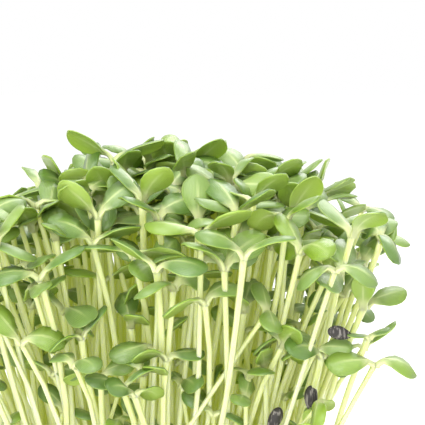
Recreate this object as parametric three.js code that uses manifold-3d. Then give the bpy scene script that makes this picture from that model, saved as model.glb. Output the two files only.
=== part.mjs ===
// A square tray of sunflower microgreens: a moulded tray, a block of growing medium,
// the shoots that stand in it and a few of the seed hulls they came from.
import * as THREE from 'three';
import { mergeVertices } from 'three/addons/utils/BufferGeometryUtils.js';
import Module from 'manifold-3d';

const wasm = await Module();
wasm.setup();

// Driving dimensions, in millimetres
const GAP = 0.3;
const WELD = 1e-4;
const TRAY_HEIGHT = 46;
const TRAY_FOOT = 108;
const TRAY_TOP = 119;
const TRAY_WALL = 1.6;
const TRAY_CORNER = 14;
const RIM_SIDE = 127;
const RIM_THICKNESS = 2;
const LIP_DEPTH = 7;
const SLOT_LENGTH = 14;
const SLOT_WIDTH = 3;
const SLOT_REACH = 30;
const MEDIUM_TOP = 36;

const FOOT_GAP = 1;
const STEM_RADIUS = 1.15;
const STEM_SIDES = 6;
const STEM_STEPS = 4;
const KNEE_LEAN = 0.4;
const KNEE_HEIGHT = 0.5;
const NODE_RADIUS = 1.6;
const LEAF_THICKNESS = 1.1;
const LEAF_CUP = -0.32;
const LEAF_SLIMNESS = 0.6;
const STALK_HALF_WIDTH = 1.45;
const STALK_SHARE = 0.24;
const BLADE_START = 0.14;
const HULL_SIZE = [9, 3.2, 5];

// The stand: shoots lean outwards more and grow shorter towards the edge of the tray
const ROWS = 6;
const STAND_REACH = 48;
const CENTRE_HEIGHT = 113;
const EDGE_DROP = 22;
const FAN = 0.34;
const FAN_POWER = 1.6;
const LATE_EDGE = 0.6;
const LATE_SHARE = 0.6;
const CLEARANCE = 4;
const ATTEMPTS = 60;
const ROOM_IN_CELL = [0.2, 0.8];
const LATE_GROWTH = [0.38, 0.85];
const HEIGHT_SPREAD = [-12, 8];
const LEAF_LENGTHS = [17, 22];
const RISES = [-10, 60];
const DROOPS = [15, 75];
const ROLLS = [-55, 55];
const LEAN_SPREAD = [-11, 11];
const BOWS = [-9, 9];
const HEADINGS = [0, 360];

// Where clearances between shoots are measured: shares along the stem and over each leaf
const STEM_MARKS = 40;
const MARKS_ALONG = [0.2, 0.4, 0.6, 0.8, 1];
const MARKS_ACROSS = [-0.8, 0, 0.8];

// Outline of a seed leaf: narrow at the petiole, widest past the middle, round at the tip
const BASE_POWER = 0.8;
const TIP_POWER = 0.5;
const WIDEST = BASE_POWER / (BASE_POWER + TIP_POWER);

const degrees = THREE.MathUtils.degToRad;
const STALK_RISE = degrees(78);

// Shoots set by hand at the front and top of the stand. Each row gives the foot (x, y), how far
// the top leans (x, y), the height, the heading of the first leaf, the leaf length, and the
// rise, droop and roll of the first and the second leaf, in millimetres and degrees.
const SET_SHOOTS = [
  [-14, -14, -3, -3, 124, 180, 21, 34, 12, 35, 22, 10, -20],
  [-42, -14, -14, 2, 108, 190, 19, 15, 35, 20, 25, 20, -15],
  [-50, 4, -34, 3, 90, 170, 18, 5, 40, 10, 35, 15, 10],
  [-14, -32, -4, -4, 102, 184, 23, 0, 45, -15, 18, 12, 10],
  [5, -44, 9, -3, 105, 95, 19, 74, 20, 5, 10, 25, 10],
  [20, -18, 5, -6, 114, -25, 20, 8, 20, 60, 15, 35, 10],
  [27, 22, 4, 3, 121, 10, 18, 10, 40, -10, 15, 50, 0],
  [10, 6, 1, 3, 119, 140, 20, 35, 20, -20, 40, 10, -20],
  [42, 10, 18, 4, 107, 125, 21, 45, 15, 35, 30, 15, 10],
  [47, -20, 21, -4, 98, -8, 19, 22, 30, 30, 35, 25, 20],
  [49, 6, 31, 2, 92, -10, 17, 8, 55, 10, 30, 10, 0],
  [47, -36, 24, -6, 75, 75, 14, 76, 12, 5, 80, 12, 5],
  [36, -38, 8, -3, 96, 175, 18, 20, 35, 40, 8, 10, 0],
  [-9, -50, 46, -6, 76, 100, 15, 45, 25, 30, -10, 30, -20],
  [-28, -45, -4, -5, 75, 130, 18, 35, 20, 50, 5, 30, 35],
  [-17, -49, -2, -6, 54, 10, 14, 30, 20, 50, 0, 20, 45],
  [43, -50, 9, -4, 35, 80, 9, 85, 5, 0, 80, 5, 0],
  [31, -51, 4, -4, 29, 30, 9, 60, 5, 0, 75, 5, 0],
  [53, -43, 18, -14, 68, 200, 9, 15, 15, 0, 25, 20, 0],
];
// The late shoots at the end of that list still carry their hulls
const HULLED = SET_SHOOTS.slice(-3);

function scatter(seed, property) {
  const wave = Math.sin(seed * 12.9898 + property * 78.233) * 43758.5453;
  return wave - Math.floor(wave);
}

function between(seed, property, [low, high]) {
  return low + (high - low) * scatter(seed, property);
}

// Joins and cuts: a closed three.js geometry as a solid, and back
function solid(geometry) {
  const bare = geometry.clone();
  bare.deleteAttribute('normal');
  bare.deleteAttribute('uv');
  const merged = mergeVertices(bare, WELD);
  return new wasm.Manifold(new wasm.Mesh({
    numProp: 3,
    vertProperties: new Float32Array(merged.attributes.position.array),
    triVerts: new Uint32Array(merged.index.array),
  }));
}

function geometryOf(body) {
  const mesh = body.getMesh();
  const geometry = new THREE.BufferGeometry();
  geometry.setAttribute('position', new THREE.BufferAttribute(mesh.vertProperties, 3));
  geometry.setIndex(new THREE.BufferAttribute(mesh.triVerts, 1));
  geometry.computeVertexNormals();
  return geometry;
}

function roundedSquare(side, corner) {
  const half = side / 2;
  const inner = half - corner;
  const outline = new THREE.Shape();
  outline.absarc(inner, inner, corner, 0, Math.PI / 2);
  outline.absarc(-inner, inner, corner, Math.PI / 2, Math.PI);
  outline.absarc(-inner, -inner, corner, Math.PI, Math.PI * 1.5);
  outline.absarc(inner, -inner, corner, Math.PI * 1.5, Math.PI * 2);
  outline.closePath();
  return outline;
}

// A rounded square block whose side changes evenly from its bottom to its top
function taperedBlock(bottomSide, topSide, bottom, top) {
  const depth = top - bottom;
  const outline = roundedSquare(bottomSide, TRAY_CORNER);
  const geometry = new THREE.ExtrudeGeometry(outline, { depth, bevelEnabled: false, curveSegments: 5 });
  const place = geometry.attributes.position;
  for (let i = 0; i < place.count; i += 1) {
    const spread = THREE.MathUtils.lerp(1, topSide / bottomSide, place.getZ(i) / depth);
    place.setXYZ(i, place.getX(i) * spread, place.getY(i) * spread, place.getZ(i) + bottom);
  }
  return solid(geometry);
}

function traySideAt(height) {
  return THREE.MathUtils.lerp(TRAY_FOOT, TRAY_TOP, height / TRAY_HEIGHT);
}

function hollowSideAt(height) {
  return traySideAt(height) - 2 * TRAY_WALL;
}

function drainSlots() {
  const slots = [];
  for (const x of [-SLOT_REACH, 0, SLOT_REACH]) {
    for (const y of [-SLOT_REACH, SLOT_REACH]) {
      const slot = new THREE.BoxGeometry(SLOT_LENGTH, SLOT_WIDTH, 4 * TRAY_WALL);
      slots.push(solid(slot.translate(x, y, 0)));
    }
  }
  return slots;
}

// One moulding: tapered walls, a flat floor with drain slots, and a rim with a turned-down lip
function tray() {
  const above = TRAY_HEIGHT + 1;
  const hollow = taperedBlock(hollowSideAt(TRAY_WALL), hollowSideAt(above), TRAY_WALL, above);
  const rimBottom = TRAY_HEIGHT - LIP_DEPTH;
  const lipInside = RIM_SIDE - 2 * TRAY_WALL;
  const rim = taperedBlock(RIM_SIDE, RIM_SIDE, rimBottom, TRAY_HEIGHT)
    .subtract(taperedBlock(lipInside, lipInside, rimBottom - 1, TRAY_HEIGHT - RIM_THICKNESS));
  let body = taperedBlock(TRAY_FOOT, TRAY_TOP, 0, TRAY_HEIGHT).add(rim).subtract(hollow);
  for (const slot of drainSlots()) {
    body = body.subtract(slot);
  }
  return geometryOf(body);
}

function growingMedium() {
  const bottom = TRAY_WALL + GAP;
  const bottomSide = hollowSideAt(bottom) - 2 * GAP;
  const topSide = hollowSideAt(MEDIUM_TOP) - 2 * GAP;
  return geometryOf(taperedBlock(bottomSide, topSide, bottom, MEDIUM_TOP));
}

function stemCurve(shoot) {
  const foot = new THREE.Vector3(shoot.x, shoot.y, MEDIUM_TOP + FOOT_GAP);
  const kneeX = shoot.x + shoot.leanX * KNEE_LEAN + shoot.bowX;
  const kneeY = shoot.y + shoot.leanY * KNEE_LEAN + shoot.bowY;
  const knee = new THREE.Vector3(kneeX, kneeY, MEDIUM_TOP + shoot.height * KNEE_HEIGHT);
  const top = new THREE.Vector3(shoot.x + shoot.leanX, shoot.y + shoot.leanY, MEDIUM_TOP + shoot.height);
  return new THREE.QuadraticBezierCurve3(foot, knee, top);
}

function leafHalfWidth(leaf, along) {
  const share = Math.max(0, (along - BLADE_START) / (1 - BLADE_START));
  const outline = (share / WIDEST) ** BASE_POWER * ((1 - share) / (1 - WIDEST)) ** TIP_POWER;
  const blade = 0.5 * LEAF_SLIMNESS * leaf.length * outline;
  return along < 0.5 ? Math.max(blade, STALK_HALF_WIDTH) : blade;
}

// How far (out, up) an arc of a length reaches while its slope turns from start to end
function arcReach(length, start, end) {
  const turn = Math.abs(end - start) < 0.001 ? 0.001 : end - start;
  const out = Math.sin(start + turn) - Math.sin(start);
  const up = Math.cos(start) - Math.cos(start + turn);
  return [out * length / turn, up * length / turn];
}

// The middle line of a leaf: its stalk turns outwards from the stem, then the blade droops
function leafMiddle(leaf, along) {
  const stalk = Math.min(along, STALK_SHARE);
  const blade = along - stalk;
  const stalkSlope = THREE.MathUtils.lerp(STALK_RISE, leaf.rise, stalk / STALK_SHARE);
  const slope = stalkSlope - leaf.droop * blade / (1 - STALK_SHARE);
  const [stalkOut, stalkUp] = arcReach(leaf.length * stalk, STALK_RISE, stalkSlope);
  const [bladeOut, bladeUp] = arcReach(leaf.length * blade, stalkSlope, slope);
  return { slope, out: stalkOut + bladeOut, up: stalkUp + bladeUp };
}

// A place on a leaf, from its share of the length, of the half width and of the half thickness
function leafPoint(shoot, leaf, along, across, lift) {
  const { slope, out, up } = leafMiddle(leaf, along);
  const twist = leaf.roll * Math.min(1, 2 * along);
  const above = new THREE.Vector3(-Math.sin(slope), 0, Math.cos(slope));
  const side = new THREE.Vector3(0, 1, 0);
  const width = side.clone().multiplyScalar(Math.cos(twist)).addScaledVector(above, Math.sin(twist));
  const normal = above.clone().multiplyScalar(Math.cos(twist)).addScaledVector(side, -Math.sin(twist));
  const half = leafHalfWidth(leaf, along);
  const depth = LEAF_CUP * across * across * half + lift * 0.5 * LEAF_THICKNESS;
  return new THREE.Vector3(out, 0, up)
    .addScaledVector(width, across * half)
    .addScaledVector(normal, depth)
    .applyAxisAngle(new THREE.Vector3(0, 0, 1), leaf.heading)
    .add(stemCurve(shoot).getPoint(1));
}

function leafBlade(shoot, leaf) {
  const geometry = new THREE.SphereGeometry(0.5, 6, 6);
  geometry.deleteAttribute('normal');
  geometry.deleteAttribute('uv');
  const ball = mergeVertices(geometry, WELD);
  const place = ball.attributes.position;
  for (let i = 0; i < place.count; i += 1) {
    const along = THREE.MathUtils.clamp(0.5 - place.getY(i), 0, 1);
    const ring = Math.hypot(place.getX(i), place.getZ(i));
    const across = ring > WELD ? place.getX(i) / ring : 0;
    const lift = ring > WELD ? place.getZ(i) / ring : 0;
    const point = leafPoint(shoot, leaf, along, across, lift);
    place.setXYZ(i, point.x, point.y, point.z);
  }
  return solid(ball);
}

function stemRod(shoot) {
  const section = new THREE.Shape();
  section.absarc(0, 0, STEM_RADIUS, 0, Math.PI * 2);
  const rod = new THREE.ExtrudeGeometry(section, {
    steps: STEM_STEPS,
    curveSegments: STEM_SIDES / 2,
    extrudePath: stemCurve(shoot),
  });
  return solid(rod);
}

// The small knob at the top of the stem, where both leaves and the growing tip meet
function leafNode(shoot) {
  const top = stemCurve(shoot).getPoint(1);
  return solid(new THREE.OctahedronGeometry(NODE_RADIUS).translate(top.x, top.y, top.z));
}

function shootGeometry(shoot) {
  let body = stemRod(shoot).add(leafNode(shoot));
  for (const leaf of shoot.leaves) {
    body = body.add(leafBlade(shoot, leaf));
  }
  return geometryOf(body);
}

function pairOfLeaves(heading, length, first, second) {
  return [first, second].map(([rise, droop, roll], index) => ({
    heading: degrees(heading + 180 * index),
    length,
    rise: degrees(rise),
    droop: degrees(droop),
    roll: degrees(roll),
  }));
}

function setShoot([x, y, leanX, leanY, height, heading, length, ...turns]) {
  const leaves = pairOfLeaves(heading, length, turns.slice(0, 3), turns.slice(3));
  return { x, y, leanX, leanY, bowX: 0, bowY: 0, height, leaves };
}

function leanTowards(place, height) {
  return Math.sign(place) * FAN * height * (Math.abs(place) / STAND_REACH) ** FAN_POWER;
}

// One shoot of the even stand, at a row and column; another attempt gives it another growth
function rowShoot(row, column, attempt) {
  const seed = (row * ROWS + column) * ATTEMPTS + attempt + 1;
  const pitch = 2 * STAND_REACH / ROWS;
  const x = -STAND_REACH + (column + between(seed, 1, ROOM_IN_CELL)) * pitch;
  const y = -STAND_REACH + (row + between(seed, 2, ROOM_IN_CELL)) * pitch;
  const edge = Math.max(Math.abs(x), Math.abs(y)) / STAND_REACH;
  const isLate = edge > LATE_EDGE && scatter(seed, 3) < LATE_SHARE;
  const late = isLate ? between(seed, 4, LATE_GROWTH) : 1;
  const height = late * (CENTRE_HEIGHT - EDGE_DROP * edge * edge + between(seed, 5, HEIGHT_SPREAD));
  const length = between(seed, 6, LEAF_LENGTHS) * (0.5 + 0.5 * late);
  const turn = (first) => [
    between(seed, first, RISES),
    between(seed, first + 1, DROOPS),
    between(seed, first + 2, ROLLS),
  ];
  return {
    x,
    y,
    leanX: leanTowards(x, height) + between(seed, 7, LEAN_SPREAD),
    leanY: leanTowards(y, height) + between(seed, 8, LEAN_SPREAD),
    bowX: between(seed, 16, BOWS),
    bowY: between(seed, 17, BOWS),
    height,
    leaves: pairOfLeaves(between(seed, 9, HEADINGS), length, turn(10), turn(13)),
  };
}

// Places along the stem and over both leaves, for keeping shoots apart
function marks(shoot) {
  const places = stemCurve(shoot).getPoints(STEM_MARKS);
  for (const leaf of shoot.leaves) {
    for (const along of MARKS_ALONG) {
      for (const across of MARKS_ACROSS) {
        places.push(leafPoint(shoot, leaf, along, across, 0));
      }
    }
  }
  return places;
}

function isClear(places, taken) {
  return places.every((place) => taken.every((other) => place.distanceTo(other) > CLEARANCE));
}

function standOfShoots() {
  const shoots = SET_SHOOTS.map(setShoot);
  const taken = shoots.flatMap(marks);
  for (let row = 0; row < ROWS; row += 1) {
    for (let column = 0; column < ROWS; column += 1) {
      for (let attempt = 0; attempt < ATTEMPTS; attempt += 1) {
        const shoot = rowShoot(row, column, attempt);
        const places = marks(shoot);
        if (isClear(places, taken)) {
          shoots.push(shoot);
          taken.push(...places);
          break;
        }
      }
    }
  }
  return shoots;
}

function hullGeometry() {
  return new THREE.SphereGeometry(0.5, 8, 6).scale(...HULL_SIZE);
}

// A hull just beyond the tip of a late shoot's first leaf, in line with it
function hullBeyondTip(shoot) {
  const tip = leafPoint(shoot, shoot.leaves[0], 1, 0, 0);
  const way = tip.clone().sub(stemCurve(shoot).getPoint(1)).normalize();
  const place = tip.addScaledVector(way, HULL_SIZE[0] / 2 + LEAF_THICKNESS);
  const turn = new THREE.Quaternion().setFromUnitVectors(new THREE.Vector3(1, 0, 0), way);
  return hullGeometry().applyQuaternion(turn).translate(place.x, place.y, place.z);
}

const trayPlastic = () => new THREE.MeshStandardMaterial({ color: '#1d1e1f', roughness: 0.55, metalness: 0 });
const darkMedium = () => new THREE.MeshStandardMaterial({ color: '#33261c', roughness: 0.95, metalness: 0 });
const shootGreen = () => new THREE.MeshStandardMaterial({ color: '#8fb35a', roughness: 0.5, metalness: 0 });
const hullBrown = () => new THREE.MeshStandardMaterial({ color: '#3a332d', roughness: 0.7, metalness: 0 });

const microgreens = new THREE.Group();

function addPiece(name, geometry, material) {
  const piece = new THREE.Mesh(geometry, material);
  piece.name = name;
  microgreens.add(piece);
  return piece;
}

addPiece('tray', tray(), trayPlastic());
addPiece('growing_medium', growingMedium(), darkMedium());

const shoots = standOfShoots();
shoots.forEach((shoot, index) => {
  addPiece(`shoot_${String(index + 1).padStart(2, '0')}`, shootGeometry(shoot), shootGreen());
});

HULLED.map(setShoot).forEach((shoot, index) => {
  addPiece(`hull_on_shoot_${index + 1}`, hullBeyondTip(shoot), hullBrown());
});

export default microgreens;
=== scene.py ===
import math

import bmesh
import bpy
import numpy as np
from mathutils import Euler, Matrix, Vector, noise
from mathutils.kdtree import KDTree


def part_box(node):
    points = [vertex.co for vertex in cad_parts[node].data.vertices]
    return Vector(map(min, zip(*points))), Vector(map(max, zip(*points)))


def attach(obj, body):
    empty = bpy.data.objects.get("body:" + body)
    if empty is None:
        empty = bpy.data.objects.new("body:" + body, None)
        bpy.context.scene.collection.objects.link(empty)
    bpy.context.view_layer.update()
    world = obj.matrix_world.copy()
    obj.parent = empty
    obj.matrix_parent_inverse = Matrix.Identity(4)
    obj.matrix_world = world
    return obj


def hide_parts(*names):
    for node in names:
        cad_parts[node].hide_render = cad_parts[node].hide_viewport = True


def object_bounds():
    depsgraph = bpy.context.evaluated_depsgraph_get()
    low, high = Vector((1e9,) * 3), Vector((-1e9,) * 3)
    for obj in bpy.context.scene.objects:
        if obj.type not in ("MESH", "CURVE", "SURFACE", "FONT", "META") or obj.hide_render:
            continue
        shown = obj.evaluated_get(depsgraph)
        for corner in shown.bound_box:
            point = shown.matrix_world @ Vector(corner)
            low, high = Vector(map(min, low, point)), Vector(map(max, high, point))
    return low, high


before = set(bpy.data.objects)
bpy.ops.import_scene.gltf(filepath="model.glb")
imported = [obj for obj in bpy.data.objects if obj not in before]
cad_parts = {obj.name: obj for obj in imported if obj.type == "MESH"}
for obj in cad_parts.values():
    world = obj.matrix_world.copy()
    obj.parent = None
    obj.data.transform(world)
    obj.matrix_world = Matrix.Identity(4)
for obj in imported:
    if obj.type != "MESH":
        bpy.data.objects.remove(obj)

cad_low, cad_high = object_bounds()


# ---- Tray ------------------------------------------------------------------------------------
# One thin-walled moulding of black plastic with tapered walls, a turned-down rim and drain slots
# in its floor. Its outline is drawn as rounded square rings that are bridged from foot to floor.
MM = 0.001
tray_low, tray_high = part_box("tray")
TRAY_HEIGHT = tray_high.z
RIM_SIDE = tray_high.x - tray_low.x
TRAY_FOOT = 108 * MM
TRAY_TOP = 119 * MM
TRAY_WALL = 1.6 * MM
TRAY_CORNER = 14 * MM
LIP_DEPTH = 7 * MM
SLOT_SIZE = (14 * MM, 3 * MM, 8 * MM)
SLOT_REACH = 30 * MM
CORNER_STEPS = 8
DRAFT = 0.08 * MM


class Shade:
    """One socket of a finish, so that a pattern reads as a sum."""

    def __init__(self, tree, socket=None):
        self.tree = tree
        self.socket = socket

    def node(self, kind, settings, values, output=0):
        """One output of a new node: its settings come first, then its values and links."""
        made = self.tree.nodes.new(kind)
        for name, setting in settings.items():
            setattr(made, name, setting)
        for name, value in values.items():
            if isinstance(value, Shade):
                self.tree.links.new(value.socket, made.inputs[name])
            else:
                made.inputs[name].default_value = value
        return Shade(self.tree, made.outputs[output])

    def maths(self, operation, first, second=0.0):
        return self.node("ShaderNodeMath", {"operation": operation}, {0: first, 1: second})

    def __add__(self, other):
        return self.maths("ADD", self, other)

    __radd__ = __add__

    def __sub__(self, other):
        return self.maths("SUBTRACT", self, other)

    def __rsub__(self, other):
        return self.maths("SUBTRACT", other, self)

    def __mul__(self, other):
        return self.maths("MULTIPLY", self, other)

    __rmul__ = __mul__

    def __abs__(self):
        return self.maths("ABSOLUTE", self)

    def rise(self, low, high):
        """0 up to the low end and 1 from the high end on, with a soft step between."""
        ends = {"Value": self, "From Min": low, "From Max": high}
        return self.node("ShaderNodeMapRange", {"interpolation_type": "SMOOTHSTEP"}, ends)

    def blend(self, first, second):
        """The first colour where this is 0 and the second where it is 1."""
        return self.node("ShaderNodeMix", {"data_type": "RGBA"}, {0: self, 6: first, 7: second}, 2)

    def feed(self, skin, name):
        self.tree.links.new(self.socket, skin.inputs[name])


def colour(code):
    """A six-figure colour code as the shader's linear colour."""
    parts = [int(code[i:i + 2], 16) / 255 for i in (0, 2, 4)]
    return (*[p / 12.92 if p < 0.04045 else ((p + 0.055) / 1.055) ** 2.4 for p in parts], 1)


def new_finish(name, **values):
    """A finish, the shader that its patterns feed, and a start for those patterns."""
    finish = bpy.data.materials.new(name)
    finish.use_nodes = True
    skin = finish.node_tree.nodes["Principled BSDF"]
    for socket, value in values.items():
        skin.inputs[socket.replace("_", " ")].default_value = value
    return finish, skin, Shade(finish.node_tree)


def add_bump(start, skin, height, distance):
    bump = start.node("ShaderNodeBump", {}, {"Height": height, "Distance": distance})
    bump.feed(skin, "Normal")


def object_noise(start, scale, detail=3.0):
    place = start.node("ShaderNodeTexCoord", {}, {}, "Object")
    return start.node("ShaderNodeTexNoise", {}, {"Vector": place, "Scale": scale, "Detail": detail})


def show(name, bm, finish, stands_for=(), smooth=True):
    """Turns a finished bmesh into a piece of the object that rides on its one body."""
    mesh = bpy.data.meshes.new(name)
    bm.to_mesh(mesh)
    bm.free()
    mesh.materials.append(finish)
    mesh.polygons.foreach_set("use_smooth", [smooth] * len(mesh.polygons))
    piece = bpy.data.objects.new(name, mesh)
    bpy.context.collection.objects.link(piece)
    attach(piece, "root")
    if stands_for:
        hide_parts(*stands_for)
    return piece


def square_ring(bm, side, height, corner):
    """The edges of one rounded square, level at a height."""
    ring = bmesh.ops.create_circle(bm, segments=4 * CORNER_STEPS, radius=1)["verts"]
    for index, vert in enumerate(ring):
        quarter, step = divmod(index, CORNER_STEPS)
        turn = math.pi / 2 * (quarter + step / (CORNER_STEPS - 1))
        middle = math.pi / 2 * (quarter + 0.5)
        x = math.copysign(side / 2 - corner, math.cos(middle)) + corner * math.cos(turn)
        y = math.copysign(side / 2 - corner, math.sin(middle)) + corner * math.sin(turn)
        vert.co = (x, y, height)
    return list({edge for vert in ring for edge in vert.link_edges})


def bridged(rings):
    """A closed form through a row of (side, height, corner) rings, with flat ends."""
    bm = bmesh.new()
    loops = [square_ring(bm, *ring) for ring in rings]
    for lower, upper in zip(loops, loops[1:]):
        bmesh.ops.bridge_loops(bm, edges=lower + upper)
    for end in (loops[0], loops[-1]):
        bmesh.ops.edgeloop_fill(bm, edges=end)
    bmesh.ops.recalc_face_normals(bm, faces=bm.faces)
    return bm


def tray_side(height):
    return TRAY_FOOT + (TRAY_TOP - TRAY_FOOT) * height / TRAY_HEIGHT


def tray_form():
    lip_bottom = TRAY_HEIGHT - LIP_DEPTH
    under_rim = TRAY_HEIGHT - 2 * MM
    lip_inside = RIM_SIDE - 2 * TRAY_WALL
    walls = 2 * TRAY_WALL
    floor = TRAY_WALL
    outline = [
        # The foot's rounded edge and the outside of the wall.
        (TRAY_FOOT - 3 * MM, 0, TRAY_CORNER - 1.5 * MM),
        (TRAY_FOOT - 0.9 * MM, 0.5 * MM, TRAY_CORNER - 0.4 * MM),
        (tray_side(2 * MM), 2 * MM, TRAY_CORNER),
        (tray_side(lip_bottom), lip_bottom, TRAY_CORNER + MM),
        (tray_side(under_rim), under_rim, TRAY_CORNER + MM),
        # Out under the rim, down the inside of the lip and round its lower edge.
        (lip_inside, under_rim + DRAFT, TRAY_CORNER - TRAY_WALL),
        (lip_inside, lip_bottom + 0.3 * MM, TRAY_CORNER - TRAY_WALL),
        (lip_inside + 0.6 * MM, lip_bottom, TRAY_CORNER - TRAY_WALL),
        (RIM_SIDE - 0.6 * MM, lip_bottom + DRAFT, TRAY_CORNER),
        # Up the outside of the lip and in over the rim.
        (RIM_SIDE, lip_bottom + 0.3 * MM, TRAY_CORNER),
        (RIM_SIDE, TRAY_HEIGHT - 1.2 * MM, TRAY_CORNER),
        (RIM_SIDE - 0.8 * MM, TRAY_HEIGHT - 0.3 * MM, TRAY_CORNER),
        (RIM_SIDE - 2.4 * MM, TRAY_HEIGHT, TRAY_CORNER),
        (TRAY_TOP - walls + 1.6 * MM, TRAY_HEIGHT - DRAFT, TRAY_CORNER),
        (TRAY_TOP - walls + 0.3 * MM, TRAY_HEIGHT - 0.5 * MM, TRAY_CORNER),
        # Down the inside of the wall to the floor.
        (tray_side(under_rim) - walls, under_rim, TRAY_CORNER),
        (tray_side(floor + 2 * MM) - walls, floor + 2 * MM, TRAY_CORNER - TRAY_WALL),
        (tray_side(floor) - walls - 2 * MM, floor, TRAY_CORNER - 2 * TRAY_WALL),
    ]
    return bridged(outline)


def slot_cutter():
    bm = bmesh.new()
    for x in (-SLOT_REACH, 0, SLOT_REACH):
        for y in (-SLOT_REACH, SLOT_REACH):
            place = Matrix.Translation((x, y, 0)) @ Matrix.Diagonal((*SLOT_SIZE, 1))
            bmesh.ops.create_cube(bm, size=1, matrix=place)
    mesh = bpy.data.meshes.new("slot_cutter")
    bm.to_mesh(mesh)
    bm.free()
    return bpy.data.objects.new("slot_cutter", mesh)


def tray_plastic():
    finish, skin, start = new_finish("tray_plastic", Roughness=0.42, Specular_IOR_Level=0.45)
    cloud = object_noise(start, 45.0)
    cloud.blend(colour("17181A"), colour("232527")).feed(skin, "Base Color")
    (0.34 + cloud * 0.22).feed(skin, "Roughness")
    add_bump(start, skin, object_noise(start, 900.0), 0.00006)
    return finish


tray = show("tray_moulding", tray_form(), tray_plastic(), ["tray"])

# The drain slots are cut through the floor at once, so the moulding is left with no modifier.
cutter = slot_cutter()
bpy.context.collection.objects.link(cutter)
slots = tray.modifiers.new("slots", "BOOLEAN")
slots.operation = "DIFFERENCE"
slots.object = cutter
cut_mesh = bpy.data.meshes.new_from_object(tray.evaluated_get(bpy.context.evaluated_depsgraph_get()))
tray.modifiers.clear()
tray.data = cut_mesh
tray.data.set_sharp_from_angle(angle=math.radians(40))
bpy.data.objects.remove(cutter)


# ---- Growing medium --------------------------------------------------------------------------
# A block of dark, damp plant fibre and compost that fills the tray to below its rim. Its top is
# uneven and strewn with crumbs and short fibres.
medium_low, medium_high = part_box("growing_medium")
MEDIUM_TOP = medium_high.z
MEDIUM_SIDE = medium_high.x - medium_low.x
MEDIUM_GRID = 96
BROAD_SWELL = 0.8 * MM
FINE_SWELL = 0.5 * MM
SURFACE_DROP = 0.9 * MM
CRUMBS = 420
CRUMB_REACH = 53 * MM
CRUMB_SIZES = (0.4, 1.3)
FIBRES = 90
FIBRE_REACH = 48 * MM
FIBRE_LENGTHS = (4, 11)
FIBRE_RADII = (0.16 * MM, 0.07 * MM)
FIBRE_TILT = (-0.15, 0.15)
FIBRE_SEED = 1001


def scatter(seed, trait):
    """A repeatable share between 0 and 1 for a seed and one of its traits."""
    wave = math.sin(seed * 12.9898 + trait * 78.233) * 43758.5453
    return wave - math.floor(wave)


def between(seed, trait, ends):
    return ends[0] + (ends[1] - ends[0]) * scatter(seed, trait)


def medium_surface(x, y):
    """How far the medium's top lies above its mean level."""
    place = Vector((x, y, 0))
    broad = noise.noise(place * 60) * BROAD_SWELL
    fine = noise.noise(place * 420) * FINE_SWELL
    return broad + fine - SURFACE_DROP


def medium_form():
    bm = bmesh.new()
    half = MEDIUM_SIDE / 2
    bmesh.ops.create_grid(bm, x_segments=MEDIUM_GRID, y_segments=MEDIUM_GRID, size=1)
    corner = TRAY_CORNER / half
    for vert in bm.verts:
        x, y = vert.co.x, vert.co.y
        over = Vector((max(0, abs(x) - 1 + corner), max(0, abs(y) - 1 + corner)))
        if over.length > corner:
            over *= corner / over.length
            x = math.copysign(1 - corner + over.x, x)
            y = math.copysign(1 - corner + over.y, y)
        vert.co = (x * half, y * half, MEDIUM_TOP + medium_surface(x * half, y * half))
    rim = [edge for edge in bm.edges if edge.is_boundary]
    drop = bmesh.ops.extrude_edge_only(bm, edges=rim)["geom"]
    # The block narrows downwards with the tray's draft.
    shrink = (medium_low.z - MEDIUM_TOP) / TRAY_HEIGHT * (TRAY_TOP - TRAY_FOOT) / MEDIUM_SIDE + 1
    for vert in drop:
        if isinstance(vert, bmesh.types.BMVert):
            vert.co = (vert.co.x * shrink, vert.co.y * shrink, medium_low.z)
    foot = [edge for edge in bm.edges if edge.is_boundary]
    bmesh.ops.edgeloop_fill(bm, edges=foot)
    bmesh.ops.recalc_face_normals(bm, faces=bm.faces)
    return bm


def crumb_place(seed, reach):
    x = between(seed, 1, (-reach, reach))
    y = between(seed, 2, (-reach, reach))
    return Vector((x, y, MEDIUM_TOP + medium_surface(x, y)))


def turned(seed):
    return Euler([between(seed, 3 + axis, (0, math.tau)) for axis in range(3)]).to_matrix().to_4x4()


def crumbs_form():
    bm = bmesh.new()
    for seed in range(1, CRUMBS + 1):
        size = between(seed, 6, CRUMB_SIZES) ** 1.5 * MM
        spread = Matrix.Diagonal((size, size * between(seed, 7, (0.6, 1)), size * 0.6, 1))
        place = Matrix.Translation(crumb_place(seed, CRUMB_REACH)) @ turned(seed) @ spread
        bmesh.ops.create_icosphere(bm, subdivisions=1, radius=1, matrix=place)
    return bm


def fibres_form():
    bm = bmesh.new()
    for seed in range(FIBRE_SEED, FIBRE_SEED + FIBRES):
        lie = Euler((math.pi / 2 + between(seed, 3, FIBRE_TILT), 0, between(seed, 4, (0, math.tau))))
        place = Matrix.Translation(crumb_place(seed, FIBRE_REACH) + Vector((0, 0, 0.3 * MM)))
        bmesh.ops.create_cone(
            bm, cap_ends=True, segments=5, radius1=FIBRE_RADII[0], radius2=FIBRE_RADII[1],
            depth=between(seed, 5, FIBRE_LENGTHS) * MM, matrix=place @ lie.to_matrix().to_4x4())
    return bm


def damp_medium():
    finish, skin, start = new_finish("damp_medium", Roughness=0.9)
    grain = object_noise(start, 700.0, 6.0)
    patch = object_noise(start, 60.0)
    dark = grain.blend(colour("140E0A"), colour("4A3626"))
    patch.rise(0.35, 0.7).blend(dark, colour("2A1D14")).feed(skin, "Base Color")
    add_bump(start, skin, grain, 0.0008)
    return finish


def dry_fibre():
    finish, skin, start = new_finish("dry_fibre", Roughness=0.8)
    object_noise(start, 300.0).blend(colour("4B341F"), colour("8D6C45")).feed(skin, "Base Color")
    return finish


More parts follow.
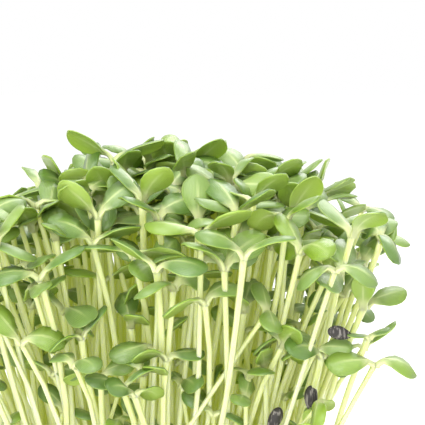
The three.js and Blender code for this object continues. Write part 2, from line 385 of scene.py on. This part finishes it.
medium_finish = damp_medium()
show("medium_block", medium_form(), medium_finish, ["growing_medium"])
show("medium_crumbs", crumbs_form(), medium_finish, smooth=False)
show("medium_fibres", fibres_form(), dry_fibre())


# ---- Shoots ----------------------------------------------------------------------------------
# Each shoot grew as one piece: a smooth, pale, juicy stem and a pair of thick, spoon-shaped seed
# leaves on short stalks. They lean out and get shorter towards the edge of the tray.
FOOT_GAP = 1
STEM_RADIUS = 1.15
KNEE_LEAN = 0.4
KNEE_HEIGHT = 0.5
LEAF_CUP = -0.32
LEAF_SLIMNESS = 0.6
STALK_HALF_WIDTH = 1.45
STALK_SHARE = 0.24
STALK_RISE = math.radians(78)
NODE_RISE = 1.2
BLADE_START = 0.14
ROWS = 6
STAND_REACH = 48
CENTRE_HEIGHT = 113
EDGE_DROP = 22
FAN = 0.34
FAN_POWER = 1.6
LATE_EDGE = 0.6
LATE_SHARE = 0.6
CLEARANCE = 4
ATTEMPTS = 60
ROOM_IN_CELL = (0.2, 0.8)
LATE_GROWTH = (0.38, 0.85)
HEIGHT_SPREAD = (-12, 8)
LEAF_LENGTHS = (17, 22)
RISES = (-10, 60)
DROOPS = (15, 75)
ROLLS = (-55, 55)
LEAN_SPREAD = (-11, 11)
BOWS = (-9, 9)
HEADINGS = (0, 360)
STEM_MARKS = 40
MARKS_ALONG = (0.2, 0.4, 0.6, 0.8, 1.0)
MARKS_ACROSS = (-0.8, 0, 0.8)
BASE_POWER = 0.8
TIP_POWER = 0.5
WIDEST = BASE_POWER / (BASE_POWER + TIP_POWER)
RING_GATHER = 0.9
WAVER = 0.6
STEM_TAPER = 0.06
STEM_FLARE = 0.3
FLARE_SPAN = 1 / 16
YOUNG_HEIGHT = 50
YOUNG_SLENDER = 0.75
SLENDER = (0.85, 1.1)
BLADE_HALF_DEPTH = 0.42
STALK_EXTRA_DEPTH = 0.7
RIM_FULLNESS = 0.65
POLE = 1e-4
SOIL = MEDIUM_TOP / MM

# Shoots listed one by one: the foot (x, y), the lean of the top (x, y), the height, the heading of the
# first leaf, the leaf length, then the rise, droop and roll of the first and the second leaf.
SET_SHOOTS = [
    (-14, -14, -3, -3, 124, 180, 21, 34, 12, 35, 22, 10, -20),
    (-42, -14, -14, 2, 108, 190, 19, 15, 35, 20, 25, 20, -15),
    (-50, 4, -34, 3, 90, 170, 18, 5, 40, 10, 35, 15, 10),
    (-14, -32, -4, -4, 102, 184, 23, 0, 45, -15, 18, 12, 10),
    (5, -44, 9, -3, 105, 95, 19, 74, 20, 5, 10, 25, 10),
    (20, -18, 5, -6, 114, -25, 20, 8, 20, 60, 15, 35, 10),
    (27, 22, 4, 3, 121, 10, 18, 10, 40, -10, 15, 50, 0),
    (10, 6, 1, 3, 119, 140, 20, 35, 20, -20, 40, 10, -20),
    (42, 10, 18, 4, 107, 125, 21, 45, 15, 35, 30, 15, 10),
    (47, -20, 21, -4, 98, -8, 19, 22, 30, 30, 35, 25, 20),
    (49, 6, 31, 2, 92, -10, 17, 8, 55, 10, 30, 10, 0),
    (47, -36, 24, -6, 75, 75, 14, 76, 12, 5, 80, 12, 5),
    (36, -38, 8, -3, 96, 175, 18, 20, 35, 40, 8, 10, 0),
    (-9, -50, 46, -6, 76, 100, 15, 45, 25, 30, -10, 30, -20),
    (-28, -45, -4, -5, 75, 130, 18, 35, 20, 50, 5, 30, 35),
    (-17, -49, -2, -6, 54, 10, 14, 30, 20, 50, 0, 20, 45),
    (43, -50, 9, -4, 35, 80, 9, 85, 5, 0, 80, 5, 0),
    (31, -51, 4, -4, 29, 30, 9, 60, 5, 0, 75, 5, 0),
    (53, -43, 18, -14, 68, 200, 9, 15, 15, 0, 25, 20, 0),
]
HULLED = SET_SHOOTS[-3:]


def pair_of_leaves(heading, length, *turns):
    pair = []
    for index, (rise, droop, roll) in enumerate(turns):
        angles = [math.radians(a) for a in (heading + 180 * index, rise, droop, roll)]
        pair.append(dict(zip(("heading", "rise", "droop", "roll"), angles), length=length))
    return pair


def set_shoot(x, y, lean_x, lean_y, height, heading, length, *turns):
    leaves = pair_of_leaves(heading, length, turns[:3], turns[3:])
    lean = dict(lean_x=lean_x, lean_y=lean_y, bow_x=0, bow_y=0)
    return dict(x=x, y=y, height=height, leaves=leaves, **lean)


def lean_towards(place, height):
    return math.copysign(FAN * height * (abs(place) / STAND_REACH) ** FAN_POWER, place)


def row_shoot(rows, row, column, attempt, first_seed=1):
    seed = (row * rows + column) * ATTEMPTS + attempt + first_seed
    pitch = 2 * STAND_REACH / rows
    x = -STAND_REACH + (column + between(seed, 1, ROOM_IN_CELL)) * pitch
    y = -STAND_REACH + (row + between(seed, 2, ROOM_IN_CELL)) * pitch
    edge = max(abs(x), abs(y)) / STAND_REACH
    is_late = edge > LATE_EDGE and scatter(seed, 3) < LATE_SHARE
    late = between(seed, 4, LATE_GROWTH) if is_late else 1
    height = late * (CENTRE_HEIGHT - EDGE_DROP * edge * edge + between(seed, 5, HEIGHT_SPREAD))
    length = between(seed, 6, LEAF_LENGTHS) * (0.5 + 0.5 * late)
    turns = [
        (between(seed, t, RISES), between(seed, t + 1, DROOPS), between(seed, t + 2, ROLLS))
        for t in (10, 13)
    ]
    lean = dict(
        lean_x=lean_towards(x, height) + between(seed, 7, LEAN_SPREAD),
        lean_y=lean_towards(y, height) + between(seed, 8, LEAN_SPREAD),
        bow_x=between(seed, 16, BOWS),
        bow_y=between(seed, 17, BOWS),
    )
    leaves = pair_of_leaves(between(seed, 9, HEADINGS), length, *turns)
    return dict(x=x, y=y, height=height, leaves=leaves, **lean)


def stem_points(shoot, along):
    """Places along the middle of the stem, in millimetres, for shares of its length."""
    foot = np.array([shoot["x"], shoot["y"], SOIL + FOOT_GAP])
    knee = np.array([
        shoot["x"] + shoot["lean_x"] * KNEE_LEAN + shoot["bow_x"],
        shoot["y"] + shoot["lean_y"] * KNEE_LEAN + shoot["bow_y"],
        SOIL + shoot["height"] * KNEE_HEIGHT,
    ])
    top = np.array([shoot["x"] + shoot["lean_x"], shoot["y"] + shoot["lean_y"], SOIL + shoot["height"]])
    a = np.asarray(along, float)[:, None]
    return (1 - a) ** 2 * foot + 2 * (1 - a) * a * knee + a ** 2 * top


def leaf_half_width(leaf, along):
    share = np.clip((along - BLADE_START) / (1 - BLADE_START), 0, 1)
    outline = (share / WIDEST) ** BASE_POWER * ((1 - share) / (1 - WIDEST)) ** TIP_POWER
    blade = 0.5 * LEAF_SLIMNESS * leaf["length"] * outline
    return np.where(along < 0.5, np.maximum(blade, STALK_HALF_WIDTH), blade)


def arc_reach(length, start, end):
    """How far (out, up) an arc of a length reaches while its slope turns from start to end."""
    turn = np.where(np.abs(end - start) < 0.001, 0.001, end - start)
    out = np.sin(start + turn) - np.sin(start)
    up = np.cos(start) - np.cos(start + turn)
    return out * length / turn, up * length / turn


def leaf_points(shoot, leaf, along, across, depth):
    """Places on a leaf, in millimetres, for shares of its length and half width and a depth."""
    stalk = np.minimum(along, STALK_SHARE)
    blade = along - stalk
    stalk_slope = STALK_RISE + (leaf["rise"] - STALK_RISE) * stalk / STALK_SHARE
    slope = stalk_slope - leaf["droop"] * blade / (1 - STALK_SHARE)
    stalk_out, stalk_up = arc_reach(leaf["length"] * stalk, STALK_RISE, stalk_slope)
    blade_out, blade_up = arc_reach(leaf["length"] * blade, stalk_slope, slope)
    half = leaf_half_width(leaf, along)
    twist = leaf["roll"] * np.minimum(1, 2 * along)
    side_way = across * half
    up_way = LEAF_CUP * across * across * half + depth
    lift = side_way * np.sin(twist) + up_way * np.cos(twist)
    y = side_way * np.cos(twist) - up_way * np.sin(twist)
    x = stalk_out + blade_out - lift * np.sin(slope)
    z = stalk_up + blade_up + lift * np.cos(slope)
    cos, sin = math.cos(leaf["heading"]), math.sin(leaf["heading"])
    return np.stack([x * cos - y * sin, x * sin + y * cos, z], axis=1) + stem_points(shoot, [1])


def marks(shoot):
    """Places along the stem and over both leaves, for keeping shoots apart."""
    along, across = np.meshgrid(MARKS_ALONG, MARKS_ACROSS)
    flat = (along.ravel(), across.ravel(), 0)
    leaves = [leaf_points(shoot, leaf, *flat) for leaf in shoot["leaves"]]
    return np.concatenate([stem_points(shoot, np.arange(STEM_MARKS + 1) / STEM_MARKS), *leaves])


def even_stand(taken):
    """The first shoot that grows clear of all the others, in each row and column."""
    shoots = []
    for row in range(ROWS):
        for column in range(ROWS):
            for attempt in range(ATTEMPTS):
                shoot = row_shoot(ROWS, row, column, attempt)
                places = marks(shoot)
                gaps = np.linalg.norm(places[:, None] - taken[None], axis=2)
                if gaps.min() > CLEARANCE:
                    shoots.append(shoot)
                    taken = np.concatenate([taken, places])
                    break
    return shoots, taken


def shoot_form(name, stem_sides, stem_rings, leaf_sides, leaf_rings):
    """A straight shoot, with each vertex's part (0 stem, 1 and 2 leaves) and place on it."""
    bm = bmesh.new()
    part = bm.verts.layers.int.new("part")
    bmesh.ops.create_cone(bm, cap_ends=True, segments=stem_sides, radius1=1, radius2=1, depth=1)
    upright = [e for e in bm.edges if abs(e.verts[0].co.z - e.verts[1].co.z) > 0.5]
    bmesh.ops.subdivide_edges(bm, edges=upright, cuts=stem_rings - 1, use_grid_fill=True)
    for index in (1, 2):
        ball = bmesh.ops.create_uvsphere(bm, u_segments=leaf_sides, v_segments=leaf_rings, radius=1)
        for vert in ball["verts"]:
            vert[part] = index
        for face in {face for vert in ball["verts"] for face in vert.link_faces}:
            face.material_index = 1
    mesh = bpy.data.meshes.new(name)
    bm.to_mesh(mesh)
    bm.free()
    return mesh


def grown(form, shoot, tone):
    """A copy of a straight shoot, grown to its own stem and leaves, with its colour traits."""
    mesh = form.copy()
    count = len(mesh.vertices)
    straight = np.empty(count * 3)
    mesh.vertices.foreach_get("co", straight)
    straight = straight.reshape(-1, 3)
    part = np.empty(count, dtype=np.int32)
    mesh.attributes["part"].data.foreach_get("value", part)
    place = np.empty((count, 3))
    growth = np.zeros((count, 3))
    chance = scatter(shoot["x"] * 7 + shoot["y"], 20)
    habit = np.tile([tone, 0.0, chance], (count, 1))
    stem = part == 0
    share = straight[stem, 2] + 0.5
    along = share - RING_GATHER * np.sin(share * math.tau) / math.tau
    middle = stem_points(shoot, along)
    wave = WAVER * np.sin(along * math.tau)
    middle[:, 0] += wave * math.sin(shoot["x"])
    middle[:, 1] += wave * math.cos(shoot["x"])
    middle[:, 2] += NODE_RISE * along ** 8
    is_young = shoot["height"] < YOUNG_HEIGHT
    slender = YOUNG_SLENDER if is_young else SLENDER[0] + (SLENDER[1] - SLENDER[0]) * chance
    flare = STEM_FLARE * np.clip(1 - (1 - along) / FLARE_SPAN, 0, 1)
    radius = STEM_RADIUS * slender * (0.98 - STEM_TAPER * along + flare)
    middle[:, :2] += straight[stem, :2] * radius[:, None]
    place[stem] = middle
    growth[stem, 0] = along
    for index, leaf in enumerate(shoot["leaves"], 1):
        own = part == index
        x, y, z = straight[own].T
        along = np.clip((1 + z) / 2, 0, 1)
        ring = np.hypot(x, y)
        off_pole = ring > POLE
        across = np.where(off_pole, x / np.maximum(ring, POLE), 0)
        lift = np.where(off_pole, y / np.maximum(ring, POLE), 0)
        half_depth = BLADE_HALF_DEPTH + STALK_EXTRA_DEPTH * np.clip(1 - along * 3, 0, 1)
        full = np.sign(lift) * np.abs(lift) ** RIM_FULLNESS
        place[own] = leaf_points(shoot, leaf, along, across, full * half_depth)
        growth[own, 0] = along
        growth[own, 1] = across
        habit[own, 1] = lift
    mesh.vertices.foreach_set("co", (place * MM).ravel())
    for name, values in (("growth", growth), ("habit", habit)):
        layer = mesh.attributes.new(name, "FLOAT_VECTOR", "POINT")
        layer.data.foreach_set("vector", values.ravel())
    return mesh


def point_trait(start, name):
    return start.node("ShaderNodeAttribute", {"attribute_name": name}, {}, "Vector")


def trait(start, name, axis):
    """Growth holds the share along (X) and across (Y); habit holds tone, lift and chance."""
    return start.node("ShaderNodeSeparateXYZ", {}, {0: point_trait(start, name)}, axis)


def stem_skin():
    """Pale, watery stems, some blushed at the foot, that let the light through and carry a painted
    glow.
    """
    # The emission is a painted glow. It lifts the shade between the stems with yellow-green and stands
    # in for light passing through them.
    finish, skin, start = new_finish(
        "stem_skin", Roughness=0.42, Subsurface_Weight=0.8, Subsurface_Scale=0.0035,
        Subsurface_Radius=(1.0, 1.0, 0.3), Coat_Weight=0.4, Coat_Roughness=0.35,
        Emission_Color=colour("CEE036"), Emission_Strength=0.14)
    along = trait(start, "growth", "X")
    chance = trait(start, "habit", "Z")
    cloud = object_noise(start, 90.0)
    pale = chance.blend(colour("CACDB2"), colour("C6CA9A"))
    stem = along.rise(0.55, 1.0).blend(pale, colour("C4CA96"))
    blush = (1.0 - along.rise(0.0, 0.22)) * chance.rise(0.55, 0.95) * 0.35
    blush.blend(stem, colour("C4A58A")).feed(skin, "Base Color")
    (0.36 + cloud * 0.16).feed(skin, "Roughness")
    add_bump(start, skin, cloud, 0.00015)
    return finish


def leaf_skin():
    """Thick, waxy seed leaves, grey-green to yellow-green, with a pale midrib, rim and stalk; the
    middle, rim and undersides are partly painted light.
    """
    finish, skin, start = new_finish(
        "leaf_skin", Subsurface_Weight=0.25, Subsurface_Scale=0.0015,
        Subsurface_Radius=(0.8, 1.0, 0.2), Coat_Weight=0.6, Coat_Roughness=0.32)
    along = trait(start, "growth", "X")
    edge = abs(trait(start, "growth", "Y"))
    tone, lift, chance = [trait(start, "habit", axis) for axis in "XYZ"]
    cloud = object_noise(start, 90.0)
    top = (tone * tone + (cloud - 0.5) * 0.4).blend(colour("708D42"), colour("7C9A20"))
    top = chance.rise(0.5, 0.9).blend(top, colour("587A2A"))
    # The undersides are paler and yellower than the tops. This is partly their own colour and partly
    # painted light shining through the leaf.
    under = tone.blend(colour("8EAA3E"), colour("9AB442"))
    blade = (0.0 - lift).rise(-0.2, 0.2).blend(top, under)
    # A paler patch over each leaf's middle. It is partly its veined centre and partly a painted sheen
    # where the domed blade catches the light.
    pale_centre_and_sheen = (1.0 - edge.rise(0.0, 0.75)) * (1.0 - along.rise(0.35, 1.0)) * 0.4
    blade = pale_centre_and_sheen.blend(blade, colour("A9BF7A"))
    vein = (1.0 - edge.rise(0.02, 0.14)) * (1.0 - along.rise(0.4, 0.95)) * 0.7
    blade = vein.blend(blade, colour("BECB88"))
    # A pale rim. It is partly the leaf's own pale edge and partly painted light glowing through the
    # thin edge.
    blade = (edge.rise(0.9, 1.0) * 0.6).blend(blade, colour("A9BE66"))
    along.rise(0.16, 0.4).blend(colour("C8D092"), blade).feed(skin, "Base Color")
    (0.34 + cloud * 0.16).feed(skin, "Roughness")
    band = {"Vector": point_trait(start, "growth"), "Scale": 3.2}
    ribs = start.node("ShaderNodeTexWave", {"bands_direction": "Y"}, band)
    add_bump(start, skin, ribs * 0.5 + cloud, 0.00015)
    return finish


stem_finish = stem_skin()
leaf_finish = leaf_skin()
fine_form = shoot_form("fine_form", 10, 14, 14, 14)
hand_set = [set_shoot(*row) for row in SET_SHOOTS]
hand_marks = np.concatenate([marks(shoot) for shoot in hand_set])
even_shoots, all_marks = even_stand(hand_marks)
cad_shoots = hand_set + even_shoots


def show_shoots(name, meshes, stands_for=()):
    bm = bmesh.new()
    for mesh in meshes:
        bm.from_mesh(mesh)
        bpy.data.meshes.remove(mesh)
    piece = show(name, bm, stem_finish, stands_for)
    piece.data.materials.append(leaf_finish)
    return piece


for number, shoot in enumerate(cad_shoots, 1):
    fine = grown(fine_form, shoot, scatter(number, 21))
    piece = show_shoots(f"grown_shoot_{number:02d}", [fine], [f"shoot_{number:02d}"])
    rounding = piece.modifiers.new("rounding", "SUBSURF")
    rounding.levels = rounding.render_levels = 1


# ---- Infill shoots ---------------------------------------------------------------------------
# The rest of the stand, as dense as it is sown: the same kind of shoot on a closer grid, between
# those above. Each is the least crowded of a few growths. One piece holds one row of them.
INFILL_ROWS = 20
INFILL_TRIES = 8
INFILL_SEED = 70001
ROW_SEED = 31
FOOT_ROOM = 2.6
INFILL_CLEARANCE = 1.9

infill_form = shoot_form("infill_form", 5, 6, 6, 10)


def crowding(tree, places):
    return sum(tree.find(place)[2] < INFILL_CLEARANCE for place in places)


def has_room(tree, shoot):
    """Whether its foot is clear of the others and all of it lies within the stand's box."""
    foot = tree.find((shoot["x"], shoot["y"], SOIL + FOOT_GAP))[2]
    places = marks(shoot) * MM
    inside = (places > np.array(cad_low)).all() and (places < np.array(cad_high)).all()
    return foot > FOOT_ROOM and inside


def infill_row(row, taken):
    shoots = []
    for column in range(INFILL_ROWS):
        tree = KDTree(len(taken))
        for index, place in enumerate(taken):
            tree.insert(place, index)
        tree.balance()
        growths = [
            row_shoot(INFILL_ROWS, row, column, attempt, INFILL_SEED)
            for attempt in range(INFILL_TRIES)
        ]
        free = [g for g in growths if has_room(tree, g)]
        if not free:
            continue
        best = min(free, key=lambda growth: crowding(tree, marks(growth)))
        shoots.append(best)
        taken.extend(marks(best).tolist())
    return shoots


taken = all_marks.tolist()
infill_shoots = []
for row in range(INFILL_ROWS):
    row_shoots = infill_row(row, taken)
    infill_shoots.extend(row_shoots)
    grown_row = [
        grown(infill_form, shoot, scatter(index + ROW_SEED * row, 22))
        for index, shoot in enumerate(row_shoots)
    ]
    show_shoots(f"infill_row_{row + 1:02d}", grown_row)


# ---- Seed hulls ------------------------------------------------------------------------------
# The dark, striped husks that the seeds came from. Their two woody halves have parted at the
# pointed end, by the stem, and still grip the leaf tips of some late shoots.
HULL_LENGTH = 9 * MM
HULL_HALF_WIDTH = 2.5 * MM
HULL_HALF_DEPTH = 1.6 * MM
HULL_WALL = 0.35 * MM
HULL_GRIP = 3 * MM
HULL_GAPE = 0.07
HULL_POINT = 0.4


def hull_half(bm, place, side):
    """One half of a husk, hinged a little open at its blunt end."""
    shell = bmesh.new()
    bmesh.ops.create_uvsphere(shell, u_segments=16, v_segments=12, radius=1)
    whole = shell.verts[:] + shell.edges[:] + shell.faces[:]
    bmesh.ops.bisect_plane(
        shell, geom=whole, plane_co=(0, 0, 0), plane_no=(0, -side, 0), clear_outer=True)
    for vert in shell.verts:
        taper = 1 - HULL_POINT * ((1 - vert.co.z) / 2) ** 2
        x, y = vert.co.x * HULL_HALF_WIDTH * taper, vert.co.y * HULL_HALF_DEPTH * taper
        vert.co = (x, y, vert.co.z * HULL_LENGTH / 2)
    bmesh.ops.solidify(shell, geom=shell.faces[:], thickness=HULL_WALL)
    blunt = Matrix.Translation((0, 0, HULL_LENGTH / 2))
    shell.transform(place @ blunt @ Matrix.Rotation(-side * HULL_GAPE, 4, "X") @ blunt.inverted())
    bmesh.ops.recalc_face_normals(shell, faces=shell.faces)
    half = bpy.data.meshes.new("hull_half")
    shell.to_mesh(half)
    shell.free()
    bm.from_mesh(half)
    bpy.data.meshes.remove(half)


def hull_form(middle, way):
    """A husk along a way that leads out from the shoot, with a broad side to the front."""
    depth = (Vector((0, 1, 0)) - way * way.y).normalized()
    turn = Matrix((depth.cross(way), depth, way)).transposed().to_4x4()
    bm = bmesh.new()
    for side in (-1, 1):
        hull_half(bm, Matrix.Translation(middle) @ turn, side)
    return bm


def striped_husk():
    finish, skin, start = new_finish("striped_husk", Roughness=0.62)
    place = start.node("ShaderNodeTexCoord", {}, {}, "Object")
    stretch = {0: place, 1: (1.0, 1.0, 0.12)}
    drawn = start.node("ShaderNodeVectorMath", {"operation": "MULTIPLY"}, stretch)
    stripes = start.node("ShaderNodeTexNoise", {}, {"Vector": drawn, "Scale": 1400.0, "Detail": 2.0})
    stripes.rise(0.5, 0.66).blend(colour("302C2A"), colour("86807A")).feed(skin, "Base Color")
    add_bump(start, skin, stripes, 0.0001)
    return finish


husk_finish = striped_husk()
for number, row in enumerate(HULLED, 1):
    shoot = set_shoot(*row)
    tip = leaf_points(shoot, shoot["leaves"][0], np.array([1.0]), np.zeros(1), 0)[0]
    way = Vector(tip - stem_points(shoot, [1])[0]).normalized()
    low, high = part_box(f"hull_on_shoot_{number}")
    form = hull_form((low + high) / 2 - way * HULL_GRIP, way)
    show(f"husk_{number}", form, husk_finish, [f"hull_on_shoot_{number}"])


# ---- Floor, light and camera -----------------------------------------------------------------
# A wide white sweep under the tray that runs far behind it, an even white sky and three soft
# lights. The camera looks a little down on the stand from the front.
SWEEP_HALF = 6
LIGHT_AIM = Vector((0, 0, 0.12))
CAMERA_TILT = math.radians(7)
CAMERA_DISTANCE = 0.48
CAMERA_AIM = Vector((0.0187, 0, 0.140))


def white_sweep():
    bm = bmesh.new()
    bmesh.ops.create_grid(bm, x_segments=1, y_segments=1, size=SWEEP_HALF)
    mesh = bpy.data.meshes.new("sweep")
    bm.to_mesh(mesh)
    bm.free()
    finish = new_finish(
        "sweep_white", Roughness=0.9, Specular_IOR_Level=0.1, Base_Color=(0.8, 0.8, 0.8, 1),
        Emission_Color=(1, 1, 1, 1), Emission_Strength=0.24)[0]
    mesh.materials.append(finish)
    sweep = bpy.data.objects.new("sweep", mesh)
    bpy.context.collection.objects.link(sweep)
    return sweep


def soft_light(name, place, size, power):
    lamp = bpy.data.lights.new(name, "AREA")
    lamp.size = size
    lamp.energy = power
    light = bpy.data.objects.new(name, lamp)
    light.location = place
    light.rotation_euler = (LIGHT_AIM - Vector(place)).to_track_quat("-Z", "Y").to_euler()
    bpy.context.collection.objects.link(light)


white_sweep()
soft_light("key", (-0.3, -0.6, 1.1), size=0.8, power=11.5)
soft_light("front", (-0.15, -1.1, 0.3), size=0.5, power=5.8)
soft_light("back", (0.3, 0.7, 0.9), size=0.8, power=8)

scene = bpy.context.scene
scene.view_settings.view_transform = "Standard"
world = bpy.data.worlds.new("white_sky")
world.use_nodes = True
world.node_tree.nodes["Background"].inputs["Color"].default_value = (1, 1, 1, 1)
world.node_tree.nodes["Background"].inputs["Strength"].default_value = 1.0
scene.world = world

camera_data = bpy.data.cameras.new("camera")
camera_data.sensor_width = 36
camera_data.lens = 108
camera = bpy.data.objects.new("camera", camera_data)
camera_way = Vector((0, -math.cos(CAMERA_TILT), math.sin(CAMERA_TILT)))
camera.location = CAMERA_AIM + CAMERA_DISTANCE * camera_way
camera.rotation_euler = (math.pi / 2 - CAMERA_TILT, 0, 0)
bpy.context.collection.objects.link(camera)
scene.camera = camera
